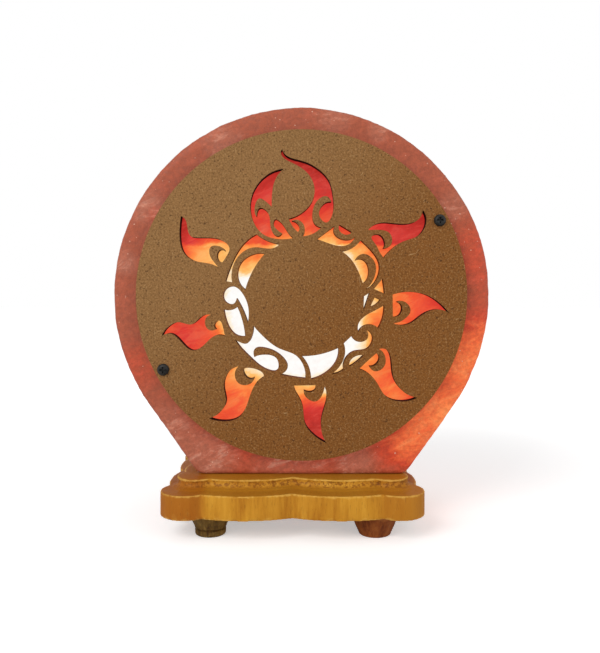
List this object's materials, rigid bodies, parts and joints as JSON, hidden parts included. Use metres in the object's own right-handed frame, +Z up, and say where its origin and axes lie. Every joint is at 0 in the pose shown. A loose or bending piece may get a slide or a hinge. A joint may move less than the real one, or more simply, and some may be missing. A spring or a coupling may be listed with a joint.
{
  "type": "salt crystal lamp",
  "caption": "Table lamp: a bored disc of rock salt with a sun-cut fibreboard face, on a stepped wavy wooden base with turned feet and a spring-held bulb holder.",
  "frame": {"origin": "on the table under the middle of the salt disc", "axes": "+Z up, -Y out of the sun plate's front face, +X to the right seen from the front"},
  "size_m": [0.21, 0.109, 0.2342],
  "materials": {
    "salt_crystal": "rough crystalline, lit from inside",
    "fibreboard": "laser-cut fibreboard, charred edges, matt lacquer",
    "blackened_screw": "black phosphate",
    "plug_plastic": "grey moulded",
    "lacquered_wood": "satin lacquer",
    "zinc_screw": "zinc plated",
    "olive_foot": "stained olive brown, satin",
    "red_foot": "stained red brown, satin",
    "holder_plastic": "black moulded",
    "insulating_insert": "glazed off-white",
    "contact_brass": "plain brass",
    "spring_steel": "bright spring steel",
    "rivet_aluminium": "plain",
    "bulb_glass": "clear",
    "stem_glass": "clear",
    "wire_nickel": "nickel wire",
    "glowing_filament": "glowing tungsten",
    "cap_nickel": "nickel plated",
    "cap_insulator": "black vitrite",
    "solder": "dull solder"
  },
  "bodies": {
    "root": {"salt_block": "salt_crystal", "front_plate": "fibreboard", "plate_screws": "blackened_screw", "plate_plugs": "plug_plastic", "base_board": "lacquered_wood", "base_screws": "zinc_screw", "base_plugs": "plug_plastic", "foot_front_left": "olive_foot", "foot_front_right": "red_foot", "foot_rear_left": "red_foot", "foot_rear_right": "red_foot"},
    "holder": {"holder_cap": "holder_plastic", "holder_barrel": "holder_plastic", "holder_insert": "insulating_insert", "holder_thread": "contact_brass", "holder_contact": "contact_brass", "holder_terminals": "contact_brass", "terminal_screws": "zinc_screw", "holder_clip_left": "spring_steel", "holder_clip_right": "spring_steel", "clip_rivets": "rivet_aluminium"},
    "bulb": {"bulb_glass": "bulb_glass", "bulb_stem": "stem_glass", "bulb_lead_wires": "wire_nickel", "bulb_filament": "glowing_filament", "bulb_cap": "cap_nickel", "bulb_cap_insulator": "cap_insulator", "bulb_cap_contact": "solder"}
  },
  "joints": [
    {"name": "holder_pull", "type": "slide", "parent": "root", "child": "holder", "axis": [0, 0, -1], "range_m": [0, 0.12]},
    {"name": "bulb_unscrew", "type": "hinge", "parent": "holder", "child": "bulb", "pos_m": [0, 0, 0.05], "axis": [0, 0, 1], "range_deg": [0, 1440]}
  ]
}
